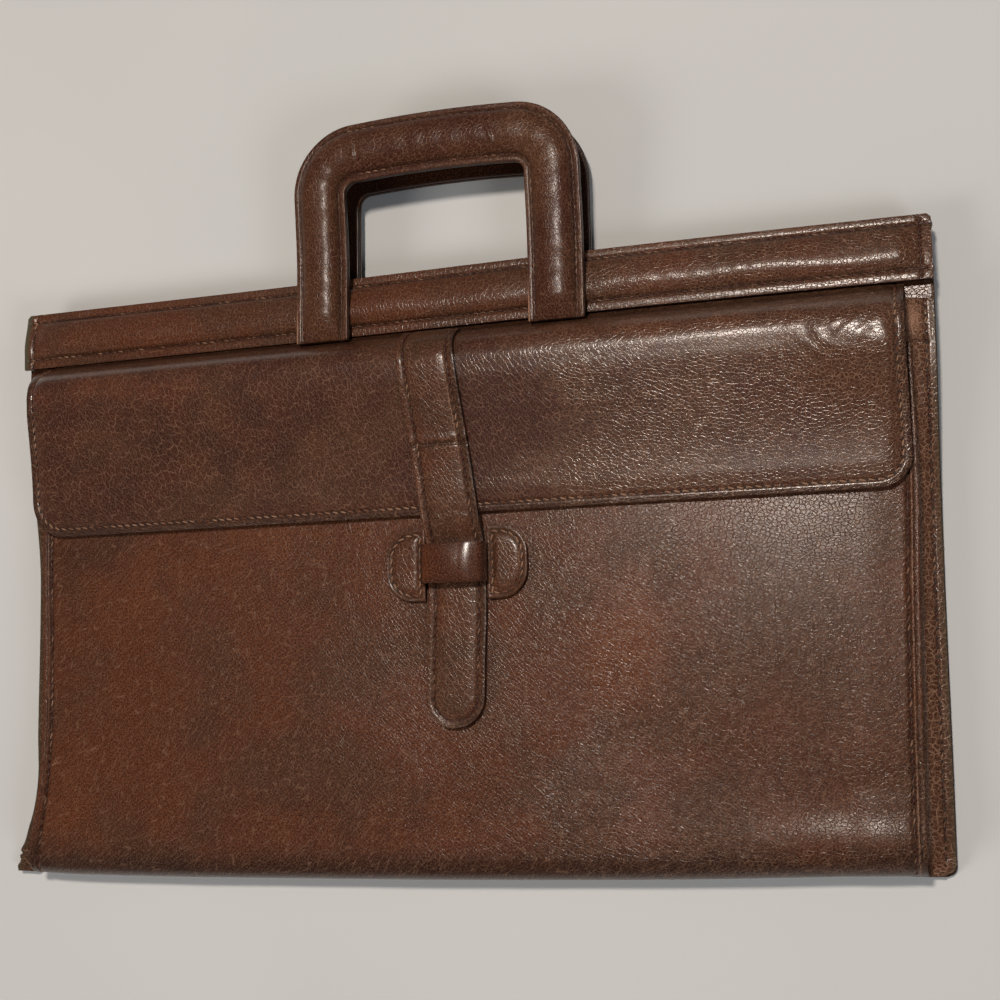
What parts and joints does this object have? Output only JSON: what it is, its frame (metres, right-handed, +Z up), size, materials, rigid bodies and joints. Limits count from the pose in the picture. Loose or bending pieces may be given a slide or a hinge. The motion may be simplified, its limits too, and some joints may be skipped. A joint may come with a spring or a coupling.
{
  "type": "leather document case",
  "caption": "Slim leather document case lying on its back, with a fold-over flap, a strap through a keeper loop, a padded top band and flat padded hand loops.",
  "frame": {"origin": "centre of the underside, on the surface that the case lies on", "axes": "+X across the case to the right as seen with the hand loops at the top, +Y from the bottom fold to the hand loops, +Z up out of the front of the case"},
  "size_m": [0.41, 0.323, 0.0332],
  "materials": {
    "shell_leather": "pebble-grained red-brown leather, satin, mottled",
    "gusset_leather": "darker red-brown leather, satin, creased",
    "band_leather": "padded red-brown grained leather, satin",
    "flap_leather": "pebble-grained red-brown leather, polished by use on its bulge",
    "strap_leather": "red-brown leather with dark painted edges",
    "handle_leather": "padded red-brown leather, shiny from handling",
    "backing_leather": "dark brown smooth backing leather with painted edge"
  },
  "bodies": {
    "root": {"back_panel": "shell_leather", "front_panel": "shell_leather", "gusset_left": "gusset_leather", "gusset_right": "gusset_leather", "top_band": "band_leather", "flap": "flap_leather", "closure_strap": "strap_leather", "keeper_tab_left": "strap_leather", "keeper_tab_right": "strap_leather", "keeper_loop": "strap_leather", "front_handle": "handle_leather", "front_handle_backing": "backing_leather", "rear_handle": "handle_leather", "rear_handle_backing": "backing_leather"}
  },
  "joints": []
}
